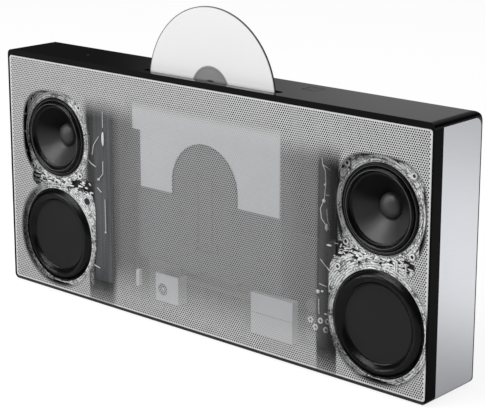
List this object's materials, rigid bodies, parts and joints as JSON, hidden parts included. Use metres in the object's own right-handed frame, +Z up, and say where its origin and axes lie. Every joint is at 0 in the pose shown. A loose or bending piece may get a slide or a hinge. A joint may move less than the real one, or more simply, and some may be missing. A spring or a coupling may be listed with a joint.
{
  "type": "micro hi-fi system",
  "caption": "Slim upright music system with a perforated metal front, drivers and passive radiators on both sides, and a top slot that takes a disc on edge.",
  "frame": {"origin": "on the shelf under the middle of the case, between the rubber feet", "axes": "+X across the front to the listener's right, +Y from the grille to the back, +Z up"},
  "size_m": [0.405, 0.054, 0.2415],
  "materials": {
    "grille_metal": "perforated sheet, satin",
    "black_case": "moulded, satin gloss",
    "black_base": "fine grain",
    "silver_side": "satin silver paint",
    "felt": "black felt",
    "foot_rubber": "matt",
    "key_plastic": "satin",
    "dome_rubber": "silicone",
    "lamp_lens": "frosted",
    "screw_black": "black zinc",
    "screw_bright": "zinc",
    "box_plastic": "moulded grey",
    "frame_plastic": "silver moulded",
    "ferrite": "ferrite and steel",
    "cone_paper": "black coated paper",
    "cap_grey": "grey dome",
    "roll_rubber": "butyl",
    "passive_plate": "flat black",
    "disc_plastic": "lacquered polycarbonate",
    "plated_steel": "zinc plated sheet",
    "guide_plastic": "grey",
    "bright_sheet": "bright sheet",
    "roller_rubber": "ground",
    "shaft_steel": "ground steel",
    "gear_plastic": "white acetal",
    "motor_can": "drawn can",
    "clamp_plastic": "black acetal",
    "optic": "coated lens",
    "circuit_board": "green laminate",
    "cap_sleeve": "sleeved cans",
    "sink_metal": "extruded",
    "shield_can": "tinned",
    "socket_plastic": "black"
  },
  "bodies": {
    "case": {"arch_plate": "bright_sheet", "bottom_plate": "black_base", "button_spring": "dome_rubber", "capacitors": "cap_sleeve", "case_screws": "screw_black", "circuit_boards": "circuit_board", "clamp_pin": "shaft_steel", "disc_guide": "guide_plastic", "driver_frames": "frame_plastic", "driver_magnets": "ferrite", "front_frame": "black_case", "front_grille": "grille_metal", "heat_sink": "sink_metal", "left_driver_surround": "roll_rubber", "left_passive_surround": "roll_rubber", "left_side_panel": "silver_side", "loading_motor": "motor_can", "mains_inlet": "socket_plastic", "mechanism_chassis": "plated_steel", "mode_bracket": "bright_sheet", "mode_motor": "motor_can", "passive_frames": "frame_plastic", "radio_module": "shield_can", "rear_cover": "black_case", "right_driver_surround": "roll_rubber", "right_passive_surround": "roll_rubber", "right_side_panel": "silver_side", "rubber_feet": "foot_rubber", "signal_sockets": "socket_plastic", "slot_lips": "felt", "speaker_baffles": "box_plastic", "speaker_boxes": "box_plastic", "speaker_screws": "screw_bright", "status_lens": "lamp_lens", "top_panel": "black_case"},
    "disc": {"disc": "disc_plastic"},
    "roller": {"loading_roller": "roller_rubber", "roller_shaft": "shaft_steel", "roller_gear": "gear_plastic"},
    "idler": {"idler_gear": "gear_plastic"},
    "pinion": {"motor_pinion": "gear_plastic"},
    "traverse": {"traverse_frame": "plated_steel", "spindle_motor": "motor_can", "guide_rods": "shaft_steel", "sled_motor": "motor_can"},
    "turntable": {"turntable": "clamp_plastic"},
    "sled": {"pickup_sled": "clamp_plastic", "pickup_lens": "optic"},
    "lead_screw": {"lead_screw": "shaft_steel"},
    "cam": {"cam_slide": "plated_steel"},
    "mode_drive": {"mode_pinion": "gear_plastic"},
    "clamp": {"clamp_arm": "clamp_plastic", "clamp_puck": "clamp_plastic"},
    "eject_key": {"eject_button": "key_plastic"},
    "left_cone": {"left_driver_cone": "cone_paper", "left_dust_cap": "cap_grey"},
    "right_cone": {"right_driver_cone": "cone_paper", "right_dust_cap": "cap_grey"},
    "left_passive": {"left_passive_disc": "passive_plate"},
    "right_passive": {"right_passive_disc": "passive_plate"}
  },
  "joints": [
    {"name": "disc_slide", "type": "slide", "parent": "case", "child": "disc", "axis": [0, 0, 1], "range_m": [-0.0695, 0]},
    {"name": "roller_spin", "type": "hinge", "parent": "case", "child": "roller", "pos_m": [0.0055, -0.0126, 0.166], "axis": [1, 0, 0], "continuous": true},
    {"name": "idler_spin", "type": "hinge", "parent": "case", "child": "idler", "pos_m": [0.079, -0.01431, 0.14929], "axis": [1, 0, 0], "continuous": true},
    {"name": "pinion_spin", "type": "hinge", "parent": "case", "child": "pinion", "pos_m": [0.079, -0.0055, 0.14], "axis": [1, 0, 0], "continuous": true},
    {"name": "traverse_lift", "type": "slide", "parent": "case", "child": "traverse", "axis": [0, -1, 0], "range_m": [0, 0.003]},
    {"name": "turntable_spin", "type": "hinge", "parent": "traverse", "child": "turntable", "pos_m": [0.0055, -0.013, 0.112], "axis": [0, 1, 0], "continuous": true},
    {"name": "sled_slide", "type": "slide", "parent": "traverse", "child": "sled", "axis": [0, 0, -1], "range_m": [0, 0.035]},
    {"name": "screw_spin", "type": "hinge", "parent": "traverse", "child": "lead_screw", "pos_m": [0.032, -0.009, 0.07], "axis": [0, 0, 1], "continuous": true},
    {"name": "cam_travel", "type": "slide", "parent": "case", "child": "cam", "axis": [1, 0, 0], "range_m": [0, 0.012]},
    {"name": "mode_spin", "type": "hinge", "parent": "case", "child": "mode_drive", "pos_m": [-0.038, -0.00415, 0.026], "axis": [0, 1, 0], "range_deg": [0, 144]},
    {"name": "clamp_swing", "type": "hinge", "parent": "case", "child": "clamp", "pos_m": [0.0055, -0.0234, 0.068], "axis": [1, 0, 0], "range_deg": [-1.65, 0]},
    {"name": "eject_press", "type": "slide", "parent": "case", "child": "eject_key", "axis": [0, 0, -1], "range_m": [0, 0.0008], "stiffness_N_per_m": 500, "springref_m": -0.0005, "deforming": ["button_spring"]},
    {"name": "left_cone_stroke", "type": "slide", "parent": "case", "child": "left_cone", "axis": [0, 1, 0], "range_m": [-0.0015, 0.0015], "stiffness_N_per_m": 800, "deforming": ["left_driver_surround"]},
    {"name": "right_cone_stroke", "type": "slide", "parent": "case", "child": "right_cone", "axis": [0, 1, 0], "range_m": [-0.0015, 0.0015], "stiffness_N_per_m": 800, "deforming": ["right_driver_surround"]},
    {"name": "left_passive_stroke", "type": "slide", "parent": "case", "child": "left_passive", "axis": [0, 1, 0], "range_m": [-0.003, 0.003], "stiffness_N_per_m": 400, "deforming": ["left_passive_surround"]},
    {"name": "right_passive_stroke", "type": "slide", "parent": "case", "child": "right_passive", "axis": [0, 1, 0], "range_m": [-0.003, 0.003], "stiffness_N_per_m": 400, "deforming": ["right_passive_surround"]}
  ],
  "couplings": [
    {"joint": "roller_spin", "follows": "disc_slide", "rad_per_m": -250},
    {"joint": "idler_spin", "follows": "disc_slide", "rad_per_m": 227.27},
    {"joint": "pinion_spin", "follows": "disc_slide", "rad_per_m": -500},
    {"joint": "cam_travel", "follows": "traverse_lift", "ratio": 4},
    {"joint": "mode_spin", "follows": "traverse_lift", "rad_per_m": 833.33},
    {"joint": "clamp_swing", "follows": "traverse_lift", "rad_per_m": -9.3333},
    {"joint": "screw_spin", "follows": "sled_slide", "rad_per_m": 2094.4}
  ]
}
